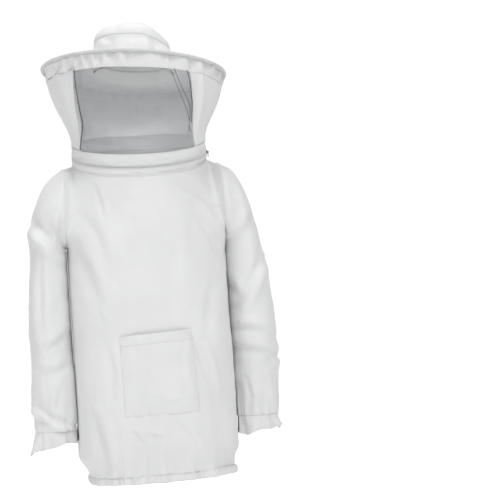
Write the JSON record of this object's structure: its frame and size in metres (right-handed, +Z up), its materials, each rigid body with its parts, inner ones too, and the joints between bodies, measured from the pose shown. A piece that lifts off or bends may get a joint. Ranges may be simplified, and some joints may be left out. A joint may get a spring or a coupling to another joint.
{
  "type": "beekeeping jacket",
  "caption": "Pull-over smock jacket with a zip-on veil hat: wire-rimmed brim, soft crown, net window, elastic hem and cuffs, patch pocket.",
  "frame": {"origin": "on the wearer's centre line at shoulder height, where the smock sits on the shoulders or a hanger", "axes": "+Z up, front towards -Y, +X towards the wearer's left"},
  "size_m": [0.602, 0.4454, 1.087],
  "materials": {
    "white_cloth": "matte plain-weave poly-cotton",
    "veil_mesh": "grey open net that can be seen through",
    "zip_tape": "woven tape",
    "zip_coil": "nylon coil",
    "zip_metal": "dark gunmetal enamel",
    "spring_wire": "drawn spring wire",
    "elastic": "knitted elastic band"
  },
  "bodies": {
    "jacket": {"front_body_panel": "white_cloth", "back_body_panel": "white_cloth", "hem_casing": "white_cloth", "hem_elastic": "elastic", "front_pocket": "white_cloth", "pocket_mouth_hem": "white_cloth", "collar_band": "white_cloth", "zip_tape_lower": "zip_tape", "zip_coil_lower": "zip_coil", "zip_stops_lower": "zip_metal"},
    "hood": {"zip_tape_upper": "zip_tape", "zip_coil_upper": "zip_coil", "zip_stops_upper": "zip_metal", "veil_base_band": "white_cloth", "veil_mesh_window": "veil_mesh", "veil_left_panel": "white_cloth", "veil_right_panel": "white_cloth", "veil_top_band": "white_cloth", "brim_top_cloth": "white_cloth", "brim_under_cloth": "white_cloth", "brim_wire_hoop": "spring_wire", "brim_rim_binding": "white_cloth", "crown_side": "white_cloth", "crown_top": "white_cloth", "hat_sweatband": "elastic"},
    "zip_slider": {"zip_slider_body": "zip_metal"},
    "zip_pull": {"zip_pull_tab": "zip_metal"},
    "left_sleeve": {"left_upper_sleeve": "white_cloth"},
    "left_forearm": {"left_forearm_sleeve": "white_cloth", "left_cuff": "white_cloth", "left_cuff_elastic": "elastic"},
    "right_sleeve": {"right_upper_sleeve": "white_cloth"},
    "right_forearm": {"right_forearm_sleeve": "white_cloth", "right_cuff": "white_cloth", "right_cuff_elastic": "elastic"}
  },
  "joints": [
    {"name": "hood_fold", "type": "hinge", "parent": "jacket", "child": "hood", "pos_m": [0, 0.10055, 0.04812], "axis": [-1, 0, 0], "range_deg": [0, 110]},
    {"name": "zip_travel", "type": "hinge", "parent": "jacket", "child": "zip_slider", "pos_m": [0, 0.014, 0.02], "axis": [0, 0.309, -0.9511], "range_deg": [0, 176]},
    {"name": "pull_flip", "type": "hinge", "parent": "zip_slider", "child": "zip_pull", "pos_m": [0.16579, -0.00257, 0.01461], "axis": [-0.1045, -0.9458, -0.3073], "range_deg": [0, 165]},
    {"name": "left_shoulder", "type": "hinge", "parent": "jacket", "child": "left_sleeve", "pos_m": [0.19, 0.014, -0.1], "axis": [-1, 0, 0], "range_deg": [-35, 100]},
    {"name": "left_elbow", "type": "hinge", "parent": "left_sleeve", "child": "left_forearm", "pos_m": [0.244, -0.053, -0.3508], "axis": [-1, 0, 0], "range_deg": [0, 100]},
    {"name": "right_shoulder", "type": "hinge", "parent": "jacket", "child": "right_sleeve", "pos_m": [-0.19, 0.014, -0.1], "axis": [-1, 0, 0], "range_deg": [-35, 100]},
    {"name": "right_elbow", "type": "hinge", "parent": "right_sleeve", "child": "right_forearm", "pos_m": [-0.244, -0.053, -0.3508], "axis": [-1, 0, 0], "range_deg": [0, 100]}
  ]
}
